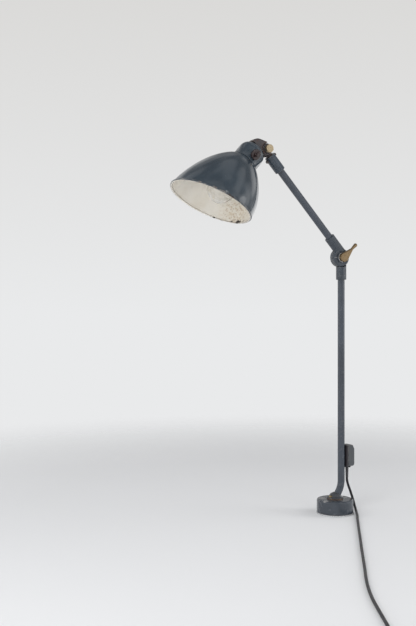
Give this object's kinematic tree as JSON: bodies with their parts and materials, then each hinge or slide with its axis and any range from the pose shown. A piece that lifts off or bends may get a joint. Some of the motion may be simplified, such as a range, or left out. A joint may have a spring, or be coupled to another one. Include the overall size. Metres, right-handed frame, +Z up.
{
  "type": "desk lamp",
  "caption": "Jointed industrial desk lamp on a round flange base, with a lever-locked elbow, a swivelling head, an oblique bell shade, a switch box and a mains lead.",
  "frame": {"origin": "middle of the base's underside, on the foot's swivel axis", "axes": "+Z up; the arms lie in the XZ plane and the head points towards -X; -Y is the front, where the head's knob and key are"},
  "size_m": [0.5907, 0.7675, 0.806],
  "materials": {
    "greyEnamel": "glossy vitreous enamel, chipped at the rim",
    "armPaint": "semi-gloss paint, worn",
    "basePaint": "semi-gloss paint, worn through at the edges",
    "boxPaint": "satin paint",
    "darkIron": "dark cast surface with a little rust",
    "brass": "aged",
    "steel": "dull",
    "bakelite": "moulded phenolic, reddish brown",
    "fibre": "vulcanised fibre",
    "porcelain": "glazed porcelain",
    "glass": "pearl glass",
    "rubber": "matt",
    "braid": "braided cotton sleeve"
  },
  "bodies": {
    "base": {"base_flange": "basePaint", "bottom_plate": "steel", "plate_screw_1": "steel", "plate_screw_2": "steel", "plate_screw_3": "steel", "edge_pin": "darkIron"},
    "lower_arm": {"turret": "darkIron", "turret_screw_1": "brass", "turret_screw_2": "steel", "turret_screw_3": "steel", "swivel_washer": "fibre", "spigot_nut": "steel", "lower_tube": "armPaint", "lower_flex": "rubber", "switch_back_plate": "bakelite", "switch_cover": "boxPaint", "box_fixing_screw_1": "steel", "box_fixing_screw_2": "steel", "switch_block": "bakelite", "cover_screw": "steel", "cord_gland": "rubber", "elbow_lower_socket": "armPaint", "lower_socket_screw": "steel", "friction_disc": "fibre", "elbow_bolt": "steel", "cord": "braid", "cord_coil": "braid", "coil_tie": "rubber", "cord_tail": "braid", "plug_body": "bakelite", "plug_pin_1": "brass", "plug_pin_2": "brass"},
    "button": {"switch_button": "rubber"},
    "lever": {"clamp_lever": "brass"},
    "upper_arm": {"elbow_upper_socket": "armPaint", "upper_socket_screw": "steel", "elbow_washer": "steel", "upper_tube": "armPaint", "upper_flex": "rubber", "head_sleeve": "armPaint", "sleeve_screw_1": "darkIron", "sleeve_screw_2": "darkIron"},
    "swivel": {"stem_knuckle": "darkIron", "head_bolt": "steel", "head_collar": "rubber"},
    "knob": {"head_knob": "brass"},
    "head": {"cap_ear": "darkIron", "nipple": "brass", "nipple_nut": "brass", "cap": "greyEnamel", "escutcheon": "bakelite", "key_switch_block": "bakelite", "lampholder_base": "porcelain", "lampholder_skirt": "brass", "shade": "greyEnamel", "shade_ring": "brass", "lamp_cap": "brass", "bulb_glass": "glass", "bulb_stem": "glass"},
    "key": {"switch_key": "bakelite"}
  },
  "joints": [
    {"name": "base_swivel", "type": "hinge", "parent": "base", "child": "lower_arm", "pos_m": [0, 0, 0.033], "axis": [0, 0, 1], "range_deg": [-170, 170]},
    {"name": "elbow", "type": "hinge", "parent": "lower_arm", "child": "upper_arm", "pos_m": [0.0124, 0, 0.564], "axis": [0, 1, 0], "range_deg": [-48, 85]},
    {"name": "elbow_lever", "type": "hinge", "parent": "lower_arm", "child": "lever", "pos_m": [0.0124, 0, 0.564], "axis": [0, 1, 0], "range_deg": [-60, 60]},
    {"name": "head_swivel", "type": "hinge", "parent": "upper_arm", "child": "swivel", "pos_m": [-0.18185, 0, 0.78517], "axis": [-0.6843, 0, 0.7292], "range_deg": [-150, 150]},
    {"name": "head_tilt", "type": "hinge", "parent": "swivel", "child": "head", "pos_m": [-0.18185, 0, 0.78517], "axis": [0, 1, 0], "range_deg": [-20, 95]},
    {"name": "head_knob_turn", "type": "hinge", "parent": "swivel", "child": "knob", "pos_m": [-0.18185, 0, 0.78517], "axis": [0, 1, 0], "range_deg": [-90, 90]},
    {"name": "switch_key_turn", "type": "hinge", "parent": "head", "child": "key", "pos_m": [-0.2223, 0, 0.76669], "axis": [0, -1, 0], "range_deg": [0, 90]},
    {"name": "button_press", "type": "slide", "parent": "lower_arm", "child": "button", "axis": [0, 0, 1], "range_m": [0, 0.0025], "stiffness_N_per_m": 900, "springref_m": -0.0015}
  ]
}
